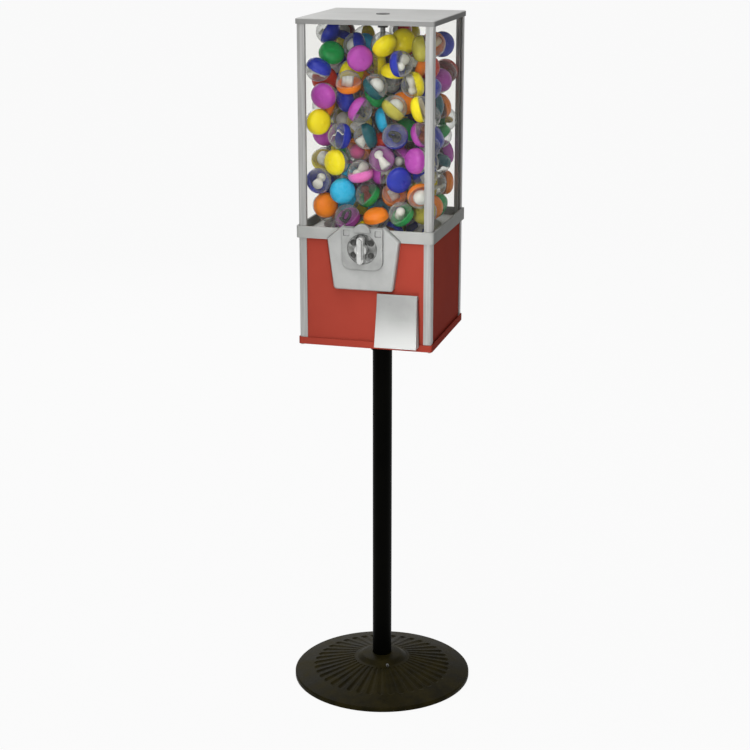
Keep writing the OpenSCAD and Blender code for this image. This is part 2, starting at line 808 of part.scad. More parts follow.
module chute_door() {
    wide = door_half + door_flare / 2;
    color("#d6d7d6") machine() translate([door_x, 0, 0]) difference() {
        intersection() {
            rotate([90, 0, 90]) translate([0, 0, -wide]) linear_extrude(2 * wide) union() {
                door_profile(hinge_y + 0.5);
                translate([-hinge_y, hinge_z]) circle(r = 4.4);
            }
            // the sides widen a little towards the lower edge
            front_slab(half - 10, half + 60) polygon([
                [-door_half, door_top + 1], [door_half, door_top + 1],
                [door_half, hinge_z - 8], [wide, door_bottom - 1], [-wide, door_bottom - 1],
                [-door_half, hinge_z - 8],
            ]);
        }
        // hollow behind the front skin, open to the chute
        rotate([90, 0, 90]) translate([0, 0, -door_half + door_t]) linear_extrude(2 * (door_half - door_t))
            polygon([
                [-half + 20, door_top + 5], [-door_in, door_top + 5], [-door_in, door_top - 2],
                [-door_in - door_lean * 0.42, (door_top + door_bottom) / 2],
                [-door_in - door_lean, door_bottom + door_t], [-half + 20, door_bottom + door_t],
            ]);
        translate([-100, -hinge_y, hinge_z]) rotate([0, 90, 0]) cylinder(d = hinge_d + 2 * turn, h = 200);
    }
}

module door_hinge_pin() {
    color("silver") machine() translate([door_x - door_half, -hinge_y, hinge_z])
        rotate([0, 90, 0]) cylinder(d = hinge_d, h = door_w);
}

// ---- Coin mechanism ----

plate_corner = 6; // radius of the front plate's lower corners

// Outline of the front plate, grown outwards by g
module plate_outline(g = 0, cut_up = 0) {
    foot = plate_bottom_w / 2 + g - plate_corner;
    low = plate_z - g + plate_corner;
    polygon(concat([
        [-plate_top_w / 2 - g, plate_top + cut_up], [plate_top_w / 2 + g, plate_top + cut_up],
        [plate_top_w / 2 + g, plate_top + g], [plate_w / 2 + g, shoulder_z + g * 0.6],
    ], arc(foot, low, plate_corner, 0, -90), arc(-foot, low, plate_corner, -90, -180), [
        [-plate_w / 2 - g, shoulder_z + g * 0.6], [-plate_top_w / 2 - g, plate_top + g],
    ]));
}

// Hollow casting with a bevelled front edge
module mech_plate() {
    bevel = 3;
    color("#b7b8b6") machine() difference() {
        union() {
            difference() {
                hull() {
                    front_slab(sheet_y + 0.1, plate_y - bevel) plate_outline();
                    front_slab(plate_y - bevel, plate_y) plate_outline(-bevel * 0.7);
                }
                front_slab(sheet_y - 1, plate_y - plate_wall) plate_outline(-plate_wall);
            }
            for (p = boss_at) front_bar(p[0], knob_z + p[1], 5, back_y + 0.3, plate_y - 1);
            front_bar(0, knob_z, shaft_d / 2 + 4, plate_y - 10, plate_y - 1);
        }
        front_bar(0, knob_z, shaft_d / 2 + turn, half - 20, plate_y + 5);
        for (p = boss_at) front_bar(p[0], knob_z + p[1], mech_screw_d / 2 + turn, back_y - 1, back_y + 12);
        // slot that lets the coin fall behind the plate
        front_slab(plate_y - 10, plate_y + 2) translate([-13, knob_z - 25]) square([26, 5]);
    }
}

module face_outline() {
    round_rect([-face_r, knob_z - face_r], [face_r, knob_z + 10], 15);
    translate([-face_r, knob_z]) square([2 * face_r, plate_top - 1.5 - knob_z]);
}

// Raised face round the knob, with the coin entry at its top
module mech_face() {
    color("#a6a7a5") machine() difference() {
        union() {
            front_slab(plate_y + 0.05, face_y) face_outline();
            front_slab(plate_y + 0.05, face_y + 3) intersection() {
                translate([0, plate_top - 9]) circle(r = 16);
                translate([-20, plate_top - 9]) square([40, 30]);
            }
        }
        front_bar(0, knob_z, dish_r, plate_y - 5, face_y + 10);
        // the coin enters here and lies in the carrier
        front_slab(face_y - 2.6, face_y - 0.4) translate([-coin_d / 2, knob_z]) square([coin_d, 60]);
        // shallow pockets in the upper corners
        for (x = [-30, 30]) front_slab(face_y - 2, face_y + 2)
            translate([x, plate_top - 11]) round_rect([-6, -6], [6, 6], 2);
    }
}

module mech_backplate() {
    color("#9fa09e") machine() difference() {
        union() {
            front_slab(back_y - back_t, back_y)
                round_rect([-back_w / 2, back_low], [back_w / 2, back_high], 5);
            front_bar(0, knob_z, shaft_d / 2 + 4, back_y - back_t - back_boss, back_y - 1);
        }
        front_bar(0, knob_z, shaft_d / 2 + turn, half - 40, back_y + 5);
        for (p = boss_at) front_bar(p[0], knob_z + p[1], mech_screw_d / 2 + 0.2, half - 40, back_y + 5);
        front_bar(pawl_at[0], knob_z + pawl_at[1], pin_d / 2 + turn, half - 40, back_y + 5);
        // way through for the coin
        front_slab(half - 40, back_y + 5) round_rect([-14, back_low + 3], [14, back_low + 13], 2);
    }
}

module mech_screws() {
    color("silver") machine() for (p = boss_at) union() {
        front_bar(p[0], knob_z + p[1], 3.5, back_y - back_t - 2.4, back_y - back_t);
        front_bar(p[0], knob_z + p[1], mech_screw_d / 2, back_y - back_t - 1, back_y + 10);
    }
}

knob_y = face_y + 0.4; // back of the knob

// Bar handle: a round hub with a waisted bar across it
module knob() {
    color("#c9cac9") machine() translate([0, 0, knob_z]) difference() {
        union() {
            front_bar(0, 0, 11, carrier_y + 0.1, knob_y + knob_depth * 0.55);
            hull() for (s = [-1, 1])
                front_bar(0, s * (knob_l / 2 - knob_w / 2), knob_w / 2, knob_y, knob_y + knob_depth * 0.75);
            hull() for (s = [-1, 1])
                front_bar(0, s * (knob_l / 2 - knob_w / 2 - 1), knob_w / 2 - 2, knob_y, knob_y + knob_depth);
        }
        front_bar(0, 0, shaft_d / 2 + turn, carrier_y - 1, knob_y + knob_depth - 6);
        translate([-20, -knob_y - 5, 0]) rotate([0, 90, 0]) cylinder(r = 1.5 + turn, h = 40);
    }
}

module knob_shaft() {
    color("#b0b1af") machine() difference() {
        front_bar(0, knob_z, shaft_d / 2, shaft_end, knob_y + knob_depth - 6.5);
        translate([-20, -knob_y - 5, knob_z]) rotate([0, 90, 0]) cylinder(r = 1.5 + turn, h = 40);
    }
}

module knob_pin() {
    color("silver") machine() translate([-10, -knob_y - 5, knob_z])
        rotate([0, 90, 0]) cylinder(r = 1.5, h = 20);
}

// Disc that carries the coin round, with finger recesses beside the knob
module coin_carrier() {
    recess_at = [16.5, 11.5];
    recess_r = 6;
    color("#8d8e8c") machine() difference() {
        front_bar(0, knob_z, dish_r - 0.4, carrier_y - carrier_t, carrier_y);
        front_bar(0, knob_z, shaft_d / 2 + turn, half - 20, face_y + 5);
        front_bar(0, knob_z + dish_r - 0.4 - coin_d / 2 + 1, coin_d / 2, carrier_y - 1.9, carrier_y + 1);
        for (sx = [-1, 1], sz = [-1, 1])
            front_bar(
                sx * recess_at[0], knob_z + sz * recess_at[1], recess_r, carrier_y - 2.4, carrier_y + 1
            );
    }
}

// Saw teeth: each rises along an even slope and falls along a radius
module ratchet_wheel() {
    root = ratchet_r - 3;
    step = 360 / ratchet_teeth;
    color("#8f908e") machine() difference() {
        front_slab(ratchet_y - ratchet_t, ratchet_y) translate([0, knob_z]) polygon([
            for (i = [0:ratchet_teeth - 1], k = [0, 1, 2, 3])
                let (
                    a = i * step + (k == 3 ? 0.97 : k / 3) * step,
                    r = k == 3 ? ratchet_r : root + 3 * k / 3.2
                )
                [r * cos(a), r * sin(a)]
        ]);
        front_bar(0, knob_z, shaft_d / 2 + turn, half - 60, back_y);
    }
}

module shaft_clip() {
    y1 = ratchet_end - 0.3;
    color("silver") machine() difference() {
        front_bar(0, knob_z, shaft_d / 2 + 3, y1 - 1.2, y1);
        front_bar(0, knob_z, shaft_d / 2 + turn, y1 - 5, y1 + 5);
    }
}

// One pinion tooth gap follows the rolling of a straight-sided rack
module pinion_tooth() {
    half_tooth = (PI * gear_module / 2 - tooth_play * 0.35) / 2;
    tip = pinion_r + addendum;
    root = pinion_r - dedendum;
    polygon([
        [root - 2, -half_tooth * 1.25], [root + 0.6, -half_tooth * 1.22], [pinion_r, -half_tooth],
        [pinion_r + addendum * 0.55, -half_tooth * 0.72], [tip, -half_tooth * 0.36],
        [tip, half_tooth * 0.36], [pinion_r + addendum * 0.55, half_tooth * 0.72],
        [pinion_r, half_tooth], [root + 0.6, half_tooth * 1.22], [root - 2, half_tooth * 1.25],
    ]);
}

module drive_pinion() {
    color("#8f908e") machine() difference() {
        front_slab(crown_in, pinion_front) translate([0, knob_z]) union() {
            circle(r = pinion_r - dedendum);
            for (i = [0:pinion_teeth - 1]) rotate(-90 + 360 * i / pinion_teeth) pinion_tooth();
        }
        front_bar(0, knob_z, shaft_d / 2 + turn, crown_in - 5, pinion_front + 5);
    }
}

pawl_t = 3.6;

module ratchet_pawl() {
    aim = atan2(-pawl_at[1], -pawl_at[0]);
    reach = norm(pawl_at) - ratchet_r - 0.35;
    color("#7d7e7c") machine() difference() {
        front_slab(ratchet_y - pawl_t, ratchet_y - 0.2)
            translate([pawl_at[0], knob_z + pawl_at[1]]) rotate(aim) union() {
                circle(r = 5);
                polygon([
                    [0, -5], [reach * 0.6, -4], [reach, -0.6], [reach, 0.6], [reach * 0.5, 4.5], [0, 5],
                ]);
                translate([-13, -2]) square([13, 4]);
            }
        front_bar(pawl_at[0], knob_z + pawl_at[1], pin_d / 2 + turn, half - 60, back_y);
    }
}

module pawl_pin() {
    color("silver") machine()
        front_bar(pawl_at[0], knob_z + pawl_at[1], pin_d / 2, ratchet_y - pawl_t - 2, back_y);
}

// Flat tube in which the coin rolls down to the box
module coin_slide() {
    run = slide_to - slide_from;
    length = norm(run);
    tilt = atan2(-run[1], -run[0]);
    wide = coin_d + 1.2;
    depth = back_y - back_t - free;
    color("#9fa09e") machine() difference() {
        translate([slide_to[0], 0, slide_to[1]]) rotate([0, -tilt, 0])
            translate([0, -depth, -wide / 2 - sheet_t])
                cube([length, slide_gap + 2 * sheet_t, wide + 2 * sheet_t]);
        translate([slide_to[0], 0, slide_to[1]]) rotate([0, -tilt, 0])
            translate([-5, -depth + sheet_t, -wide / 2]) cube([length + 10, slide_gap, wide]);
        // mouth towards the back plate
        front_slab(depth - sheet_t - 1, depth + 2) round_rect([-13, back_low + 2], [13, back_low + 14], 2);
    }
}

module coin_box() {
    color("#a3a4a2") machine() translate([0, 0, pan_t + free]) difference() {
        translate([box_x[0], box_y[0], 0]) cube([box_x[1] - box_x[0], box_y[1] - box_y[0], box_h]);
        translate([box_x[0] + sheet_t, box_y[0] + sheet_t, sheet_t])
            cube([box_x[1] - box_x[0] - 2 * sheet_t, box_y[1] - box_y[0] - 2 * sheet_t, box_h]);
    }
}

// ---- Capsules ----

// Places of the capsules: full layers of five by five round the rod, with layers of
// four by four in the hollows between them. Each entry is x, y, z and a running number.
places = [
    for (k = [0:capsule_layers - 1])
        let (n = k % 2 == 0 ? 5 : 4)
        for (i = [0:n - 1], j = [0:n - 1])
            if (n == 4 || i != 2 || j != 2)
                [(i - (n - 1) / 2) * capsule_pitch, (j - (n - 1) / 2) * capsule_pitch,
                 first_layer + k * layer_h, i + 3 * j + 7 * k]
];

module capsule_pose(p) {
    translate([p[0], p[1], p[2]]) rotate([(p[3] * 47) % 180 - 90, 0, (p[3] * 83) % 360]) children();
}

// Half shell; lower is the flatter cap and upper the dome
module half_shell(upper) {
    inside = capsule_r - capsule_wall;
    difference() {
        sphere(r = capsule_r);
        sphere(r = inside);
        translate([-capsule_d, -capsule_d, upper ? seam / 2 - capsule_d : -seam / 2])
            cube([2 * capsule_d, 2 * capsule_d, capsule_d]);
    }
}

module capsule_domes() {
    color("#e9eef0", 0.4) machine() for (p = places) capsule_pose(p) half_shell(true);
}

module capsule_caps_warm() {
    color("#e6b422") machine() for (p = places) if (p[3] % 2 == 0) capsule_pose(p) half_shell(false);
}

module capsule_caps_cool() {
    color("#3b49a8") machine() for (p = places) if (p[3] % 2 == 1) capsule_pose(p) half_shell(false);
}

stand_base();
set_screws();
pole();
mounting_flange();
crown_gear();
flange_bolts();
flange_washers();
flange_nuts();
base_pan();
front_panel();
left_panel();
right_panel();
back_panel();
front_left_post();
front_right_post();
back_left_post();
back_right_post();
post_screws();
collar();
front_window();
left_window();
right_window();
back_window();
lid();
lid_seal();
lock_barrel();
lock_plug();
lock_nut();
centre_rod();
rod_nuts();
hopper();
gear_cover();
wheel_deck();
deck_standoffs();
vending_wheel();
wheel_bush();
outlet_guard();
guard_brush();
chute();
chute_frame();
chute_door();
door_hinge_pin();
mech_plate();
mech_face();
mech_backplate();
mech_screws();
knob();
knob_shaft();
knob_pin();
coin_carrier();
ratchet_wheel();
shaft_clip();
drive_pinion();
ratchet_pawl();
pawl_pin();
coin_slide();
coin_box();
capsule_domes();
capsule_caps_warm();
capsule_caps_cool();
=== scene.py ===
"""Looks of the capsule vending machine: finishes, capsules in the cabinet, light and camera."""

import json
import math

import bpy
import numpy as np
from mathutils import Euler, Matrix, Vector


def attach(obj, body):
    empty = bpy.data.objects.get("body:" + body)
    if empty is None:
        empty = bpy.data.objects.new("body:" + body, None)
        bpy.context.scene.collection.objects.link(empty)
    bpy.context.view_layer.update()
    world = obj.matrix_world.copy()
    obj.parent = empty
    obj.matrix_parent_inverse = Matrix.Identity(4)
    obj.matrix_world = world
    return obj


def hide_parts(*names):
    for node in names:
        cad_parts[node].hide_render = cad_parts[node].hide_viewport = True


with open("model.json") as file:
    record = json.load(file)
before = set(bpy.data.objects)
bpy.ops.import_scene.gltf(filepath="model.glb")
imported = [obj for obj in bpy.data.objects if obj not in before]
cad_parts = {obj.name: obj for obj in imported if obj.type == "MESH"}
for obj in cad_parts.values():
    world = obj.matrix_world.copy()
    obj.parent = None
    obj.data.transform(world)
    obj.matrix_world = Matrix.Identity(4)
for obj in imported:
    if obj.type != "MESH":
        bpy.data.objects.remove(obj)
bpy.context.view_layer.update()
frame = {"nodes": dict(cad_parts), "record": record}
nodes = frame["nodes"]
rng = np.random.default_rng(24)

STAND_H = 0.727  # underside of the machine above the floor

# Finger recesses of the coin carrier
KNOB_Z = STAND_H + 0.192
WELL_AT = (0.0165, 0.0115)  # from the knob's axis
WELL_FLOOR = 0.1427  # in front of the middle of the machine

# Capsules
CAPSULE_R = 0.0241
CAP_DEPTH = 0.0165  # of the coloured cap, which is shallower than the clear dome
TOY_SCALE = 1.05
TOY_LIFT = 0.0035  # of the prize towards the clear half

# Pouring the heap
CAPSULE_COUNT = 196
HEAP_R = 0.0247  # room for each in the heap, which neighbours press 1.2 mm into at most
POUR_FROM, POUR_OVER = 0.05, 0.75  # lowest start above the hopper's mouth, and height of the column
SETTLE_STEPS = 420
FALL = 0.0022  # in the first step
JITTER = 0.0003
ROUNDS = 12  # of pushing apart in each step
SLACK = 0.0001  # kept between neighbours
LIP_REACH = 0.02  # how far inside the mouth the hopper's slope still pushes
WINDOW_IN = 0.1215  # inner faces of the windows, from the middle
ROD_R = 0.0048
LID_UNDER = STAND_H + 0.600
MOUTH_R, MOUTH_Z = 0.0845, STAND_H + 0.183  # inner edge of the hopper
RIM_R, RIM_Z = 0.112, STAND_H + 0.212  # outer edge of the hopper's slope
HOOD_R, HOOD_Z = 0.019, STAND_H + 0.192  # hood over the pinion
HOOD_END = -0.078  # its inner end


def rgb(code):
    """Linear colour from a hex code."""
    parts = [int(code[i : i + 2], 16) / 255 for i in (1, 3, 5)]
    return [c / 12.92 if c <= 0.04045 else ((c + 0.055) / 1.055) ** 2.4 for c in parts]


# ---- Materials ----


class Nodes:
    """Short hand for building the node tree of a material or a world."""

    def __init__(self, owner, output="ShaderNodeOutputMaterial"):
        self.owner = owner
        owner.use_nodes = True
        self.tree = owner.node_tree
        self.tree.nodes.clear()
        self.out = self.add(output)

    def add(self, kind, **sockets):
        """New node; sockets give its inputs by name or number, as links or plain values."""
        node = self.tree.nodes.new(kind)
        for key, value in sockets.items():
            self.set(node, key.replace("_", " "), value)
        return node

    def set(self, node, socket, value):
        target = node.inputs[int(socket) if socket.isdigit() else socket]
        if isinstance(value, bpy.types.NodeSocket):
            self.tree.links.new(value, target)
        else:
            target.default_value = value

    def noise(self, scale, stretch=(1, 1, 1), detail=3.0, rough=0.5):
        """Noise over the object's own coordinates, as a value."""
        place = self.add("ShaderNodeTexCoord")
        mapping = self.add("ShaderNodeMapping", Vector=place.outputs["Object"])
        mapping.inputs["Scale"].default_value = stretch
        tex = self.add("ShaderNodeTexNoise", Vector=mapping.outputs[0], Scale=scale, Detail=detail)
        tex.inputs["Roughness"].default_value = rough
        return tex.outputs["Fac"]

    def ramp(self, value, low, high, pos=(0.35, 0.65)):
        """Colour between low and high as value goes from pos[0] to pos[1]."""
        node = self.add("ShaderNodeValToRGB", Fac=value)
        for stop, colour, at in zip(node.color_ramp.elements, (low, high), pos):
            stop.color = (*colour, 1)
            stop.position = at
        return node.outputs["Color"]

    def between(self, value, low, high):
        """low to high as value goes from 0.3 to 0.7, which is most of a noise's range."""
        node = self.add("ShaderNodeMapRange", Value=value)
        node.inputs["From Min"].default_value = 0.3
        node.inputs["From Max"].default_value = 0.7
        node.inputs["To Min"].default_value = low
        node.inputs["To Max"].default_value = high
        return node.outputs["Result"]

    def height(self, low, high):
        """0 to 1 as the place on the object rises from the share low of its height to high."""
        place = self.add("ShaderNodeTexCoord")
        split = self.add("ShaderNodeSeparateXYZ", Vector=place.outputs["Generated"])
        node = self.add("ShaderNodeMapRange", Value=split.outputs["Z"])
        node.interpolation_type = "SMOOTHSTEP"
        node.inputs["From Min"].default_value = low
        node.inputs["From Max"].default_value = high
        return node.outputs["Result"]

    def blend(self, value, low, high):
        """From the plain colour low to the colour socket high as value goes from 0 to 1."""
        mix = self.add("ShaderNodeMix")
        mix.data_type = "RGBA"
        mix.inputs[6].default_value = (*low, 1)
        self.tree.links.new(value, mix.inputs[0])
        self.tree.links.new(high, mix.inputs[7])
        return mix.outputs[2]

    def relief(self, height, strength, distance, edge=0.0):
        """Normal with fine relief, and with edges softened over the radius edge."""
        bump = self.add("ShaderNodeBump", Height=height, Strength=strength, Distance=distance)
        if edge:
            soft = self.add("ShaderNodeBevel", Radius=edge)
            soft.samples = 4
            self.set(bump, "Normal", soft.outputs[0])
        return bump.outputs[0]

    def finish(self, shader):
        self.tree.links.new(shader, self.out.inputs["Surface"])
        return self.owner


def solid(name, low, high, rough, metal=0.0, patch=14.0, stretch=(1, 1, 1), grain=(900.0, 0.08, 0.0002),
          edge=0.0006, specular=0.5, painted_corner_shade=None, low_end_painted_light=None):
    """Opaque finish: two close colours in soft patches, uneven gloss and a fine grain.
    The (colour, distance) pair is painted shade that darkens corners and recesses, and the (colour, from,
    to) triple is a colour painted on the lower end, fading out between those shares of the piece's height,
    for painted light and shade there."""
    n = Nodes(bpy.data.materials.new(name))
    patches = n.noise(patch, stretch)
    fine = n.noise(grain[0], stretch, detail=2.0)
    shader = n.add("ShaderNodeBsdfPrincipled", Metallic=metal)
    colour = n.ramp(patches, rgb(low), rgb(high))
    # painted light and shade: the lower end of the piece takes a colour of its own, by height
    if low_end_painted_light:
        colour = n.blend(n.height(low_end_painted_light[1], low_end_painted_light[2]), rgb(low_end_painted_light[0]), colour)
    # painted shade: ambient occlusion darkens the colour in corners and recesses
    if painted_corner_shade:
        open_air = n.add("ShaderNodeAmbientOcclusion", Distance=painted_corner_shade[1])
        open_air.samples = 6
        colour = n.blend(n.between(open_air.outputs["AO"], 0.0, 1.0), rgb(painted_corner_shade[0]), colour)
    n.set(shader, "Base Color", colour)
    n.set(shader, "Roughness", n.between(patches, *rough))
    n.set(shader, "Normal", n.relief(fine, grain[1], grain[2], edge))
    shader.inputs["Specular IOR Level"].default_value = specular
    return n.finish(shader.outputs[0])


def clear(name, tint, edge_colour, veil, gloss=0.06, facing=0.35):
    """Clear plastic: what is behind it shows through, and a second colour shows more towards its edges."""
    n = Nodes(bpy.data.materials.new(name))
    see = n.add("ShaderNodeBsdfTransparent", Color=(*rgb(tint), 1))
    skin = n.add("ShaderNodeBsdfPrincipled", Roughness=gloss)
    haze = n.noise(60.0)
    n.set(skin, "Base Color", n.ramp(haze, rgb(edge_colour), rgb(tint)))
    weight = n.add("ShaderNodeLayerWeight", Blend=facing)
    least = n.add("ShaderNodeMapRange", Value=weight.outputs["Facing"])
    least.inputs["To Min"].default_value = veil[0]
    least.inputs["To Max"].default_value = veil[1]
    mix = n.add("ShaderNodeMixShader", Fac=least.outputs["Result"])
    n.set(mix, "1", see.outputs[0])
    n.set(mix, "2", skin.outputs[0])
    return n.finish(mix.outputs[0])


def cad_materials():
    """The finish of each material slot of the CAD model."""
    brushed_up = (1, 1, 0.02)
    return {
        "cast_base": solid("cast_base", "#191608", "#29240f", (0.42, 0.55), patch=30, specular=0.03,
                           grain=(420.0, 0.25, 0.0006), edge=0.0012),
        "black_paint": solid("black_paint", "#030302", "#060604", (0.3, 0.4), specular=0.02,
                             grain=(160.0, 0.05, 0.0003)),
        "dark_steel": solid("dark_steel", "#5b5b59", "#7a7a78", (0.35, 0.5), metal=0.6),
        "red_paint": solid("red_paint", "#9c3d31", "#a64437", (0.4, 0.48), specular=0.001, patch=6,
                           grain=(260.0, 0.05, 0.0003)),
        "aluminium": solid("aluminium", "#9c9c9a", "#b4b4b2", (0.3, 0.4), metal=0.3, stretch=brushed_up,
                           patch=500.0, grain=(2600.0, 0.05, 0.0001), specular=0.03),
        "silver_collar": solid("silver_collar", "#a4a5a2", "#b0b1ae", (0.4, 0.5), specular=0.002),
        "clear_sheet": clear("clear_sheet", "#fcfcfb", "#f2f3f2", (0.006, 0.10), gloss=0.03, facing=0.1),
        # painted shade: the lid's skirt, below 0.80 of its height, is painted a darker grey
        "grey_lid": solid("grey_lid", "#c0c0be", "#c9c9c7", (0.45, 0.55), specular=0.01,
                          low_end_painted_light=("#8e8e8c", 0.80, 0.97)),
        "seal_rubber": solid("seal_rubber", "#161616", "#222222", (0.7, 0.85)),
        "lock_dark": solid("lock_dark", "#3a3a3a", "#565655", (0.3, 0.45), metal=0.5),
        "zinc_steel": solid("zinc_steel", "#9d9f9e", "#c3c4c0", (0.3, 0.45), metal=0.7, patch=60),
        "grey_plastic": solid("grey_plastic", "#cfd0ce", "#dadbd9", (0.42, 0.55)),
        "white_plastic": solid("white_plastic", "#dcdcd8", "#e8e8e4", (0.4, 0.5)),
        "bristle": solid("bristle", "#141414", "#2c2c2c", (0.7, 0.9), stretch=(1, 1, 0.05), patch=900,
                         grain=(2400.0, 0.9, 0.0008)),
        # painted shade darkens the corners and recesses of the cast silver parts
        "cast_silver": solid("cast_silver", "#a2a3a1", "#afb0ae", (0.36, 0.46), metal=0.1, patch=26,
                             grain=(700.0, 0.10, 0.0003), edge=0.0009, painted_corner_shade=("#1f1f1e", 0.008),
                             specular=0.3),
        # painted shade darkens the corners and recesses of the steel parts
        "machine_steel": solid("machine_steel", "#6c6d6b", "#a4a5a2", (0.25, 0.4), metal=0.4, patch=80,
                               painted_corner_shade=("#141413", 0.007)),
    }


def node_materials():
    """Finishes of single CAD nodes that differ from the rest of their slot."""
    return {
        # painted shade darkens the corners and recesses of the mechanism face
        "mech_face": solid("face_silver", "#949593", "#a9aaa8", (0.3, 0.42), metal=0.15, patch=40,
                           edge=0.0009, grain=(700.0, 0.10, 0.0003), painted_corner_shade=("#161615", 0.010),
                           specular=0.2),
        # painted shade darkens the coin carrier's recesses and corners
        "coin_carrier": solid("carrier_steel", "#525250", "#a0a19f", (0.16, 0.3), metal=0.5, patch=90,
                              painted_corner_shade=("#0e0e0d", 0.012), specular=0.4),
        # painted shade darkens the knob's corners and crevices
        "knob": solid("knob_bright", "#a8a9a7", "#cfcfcd", (0.16, 0.3), metal=0.3, patch=70, edge=0.0012,
                      painted_corner_shade=("#2a2a29", 0.006), specular=0.5),
        # painted light: the door's lower end is painted lighter, fading out at 0.75 of its height
        "chute_door": solid("door_silver", "#979896", "#a1a2a0", (0.34, 0.44), metal=0.1, patch=26,
                            grain=(700.0, 0.10, 0.0003), edge=0.0009, low_end_painted_light=("#cccdcb", 0.0, 0.75),
                            specular=0.2),
    }


def dress_cad():
    """Puts each slot's finish on its CAD nodes."""
    finishes = cad_materials()
    own = node_materials()
    for part in frame["record"]["subparts"]:
        mat = own.get(part["node"]) or finishes.get(part["material_slot"])
        if mat is None:
            continue
        data = nodes[part["node"]].data
        data.materials.clear()
        data.materials.append(mat)


# ---- Capsules ----


def lathe(profile, turns=20):
    """Vertices and faces of a profile of (radius, height) turned about Z."""
    verts = []
    rows = []
    for r, z in profile:
        if r < 1e-6:
            rows.append([len(verts)])
            verts.append((0, 0, z))
            continue
        rows.append(list(range(len(verts), len(verts) + turns)))
        for k in range(turns):
            a = 2 * math.pi * k / turns
            verts.append((r * math.cos(a), r * math.sin(a), z))
    faces = []
    for low, high in zip(rows, rows[1:]):
        if len(low) == len(high) == 1:
            continue
        for k in range(turns):
            j = (k + 1) % turns
            if len(low) == 1:
                faces.append((low[0], high[j], high[k]))
            elif len(high) == 1:
                faces.append((low[k], low[j], high[0]))
            else:
                faces.append((low[k], low[j], high[j], high[k]))
    return np.array(verts, float), faces


def arc(radius, start, end, steps):
    """Points of a circle in the (radius, height) plane, angles in degrees from the equator."""
    return [(radius * math.cos(a), radius * math.sin(a)) for a in np.radians(np.linspace(start, end, steps))]


def dome_shape():
    """Clear half: a rim band, then a dome with a small nib at its top."""
    r = CAPSULE_R
    return lathe([(r, 0.0003), (r, 0.0022), (r - 0.0006, 0.0026), *arc(r - 0.0003, 9, 78, 8),
                  (0.0042, 0.0230), (0.0038, 0.0236), (0, 0.0237)])


def bowl_curve(radius, depth, steps):
    """Half of a rounded, flattened bowl: points from its rim down to its middle."""
    out = []
    for a in np.radians(np.linspace(0, 90, steps)):
        out.append((radius * max(math.cos(a), 0.0) ** 0.80, -depth * math.sin(a) ** 0.80))
    return out


def cap_shape():
    """Coloured half: a grooved rim band and a shallow rounded bowl with a wall."""
    r = CAPSULE_R
    outer = [(r - 0.0014, 0.0022), (r - 0.0003, 0.0012), (r, -0.0004), (r - 0.0006, -0.0010)]
    bowl = [(a, b - 0.0010) for a, b in bowl_curve(r - 0.0002, CAP_DEPTH, 10)[1:-1]]
    end = [(0.0044, -CAP_DEPTH - 0.0008), (0.0038, -CAP_DEPTH - 0.0013), (0, -CAP_DEPTH - 0.0014)]
    inside = [(a, b + 0.0004) for a, b in reversed(bowl_curve(r - 0.0020, CAP_DEPTH, 8))]
    return lathe([*outer, *bowl, *end, *inside, outer[0]])


def ball_toy():
    return lathe([(0, -0.0135), *arc(0.0135, -75, 75, 9), (0, 0.0135)], 14)


def ring_toy():
    """Finger ring with a round head."""
    band = []
    for a in np.radians(np.linspace(0, 360, 9)):
        band.append((0.0100 + 0.0022 * math.cos(a), 0.0034 * math.sin(a)))
    verts, faces = lathe(band, 16)
    head, more = lathe([(0, 0.0085), (0.0075, 0.0085), (0.0088, 0.0100), (0.0080, 0.0120), (0, 0.0128)], 14)
    head = head[:, [2, 1, 0]]
    return np.vstack([verts, head]), faces + [tuple(i + len(verts) for i in f) for f in more]


def figure_toy():
    """Little skittle figure: foot, body, neck and head."""
    return lathe([(0, -0.0170), (0.0088, -0.0168), (0.0095, -0.0150), (0.0080, -0.0080), (0.0060, -0.0020),
                  (0.0048, 0.0022), (0.0050, 0.0036), (0.0078, 0.0070), (0.0082, 0.0106), (0.0066, 0.0142),
                  (0.0030, 0.0162), (0, 0.0166)], 14)


def slip_toy():
    """Paper slip, folded twice and curled."""
    verts = []
    faces = []
    columns = 15
    for k in range(columns):
        t = k / (columns - 1) * 2 - 1
        x = 0.0165 * t
        z = 0.0052 * math.cos(3.2 * t) + 0.0022 * abs(((k + 2) % 5) - 2)
        for y in (-0.0105, 0.0105):
            for lift in (0.0, 0.0006):
                verts.append((x, y * (1 - 0.25 * abs(t)), z + lift))
    for k in range(columns - 1):
        a, b = 4 * k, 4 * (k + 1)
        faces += [(a, b, b + 2, a + 2), (a + 1, a + 3, b + 3, b + 1)]
        faces += [(a, a + 1, b + 1, b), (a + 2, b + 2, b + 3, a + 3)]
    last = 4 * (columns - 1)
    faces += [(0, 2, 3, 1), (last, last + 1, last + 3, last + 2)]
    return np.array(verts), faces


def merged(name, shape, places, mat, body="cabinet"):
    """One piece made of copies of a shape at the given places, riding on a body."""
    verts, faces = shape
    all_verts = []
    all_faces = []
    for place in places:
        start = len(all_verts) * len(verts)
        m = np.array(place)
        all_verts.append(verts @ m[:3, :3].T + m[:3, 3])
        all_faces += [tuple(i + start for i in f) for f in faces]
    mesh = bpy.data.meshes.new(name)
    mesh.from_pydata(np.vstack(all_verts).tolist(), [], all_faces)
    mesh.validate()
    mesh.shade_smooth()
    mesh.materials.append(mat)
    piece = bpy.data.objects.new(name, mesh)
    bpy.context.scene.collection.objects.link(piece)
    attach(piece, body)
    return piece


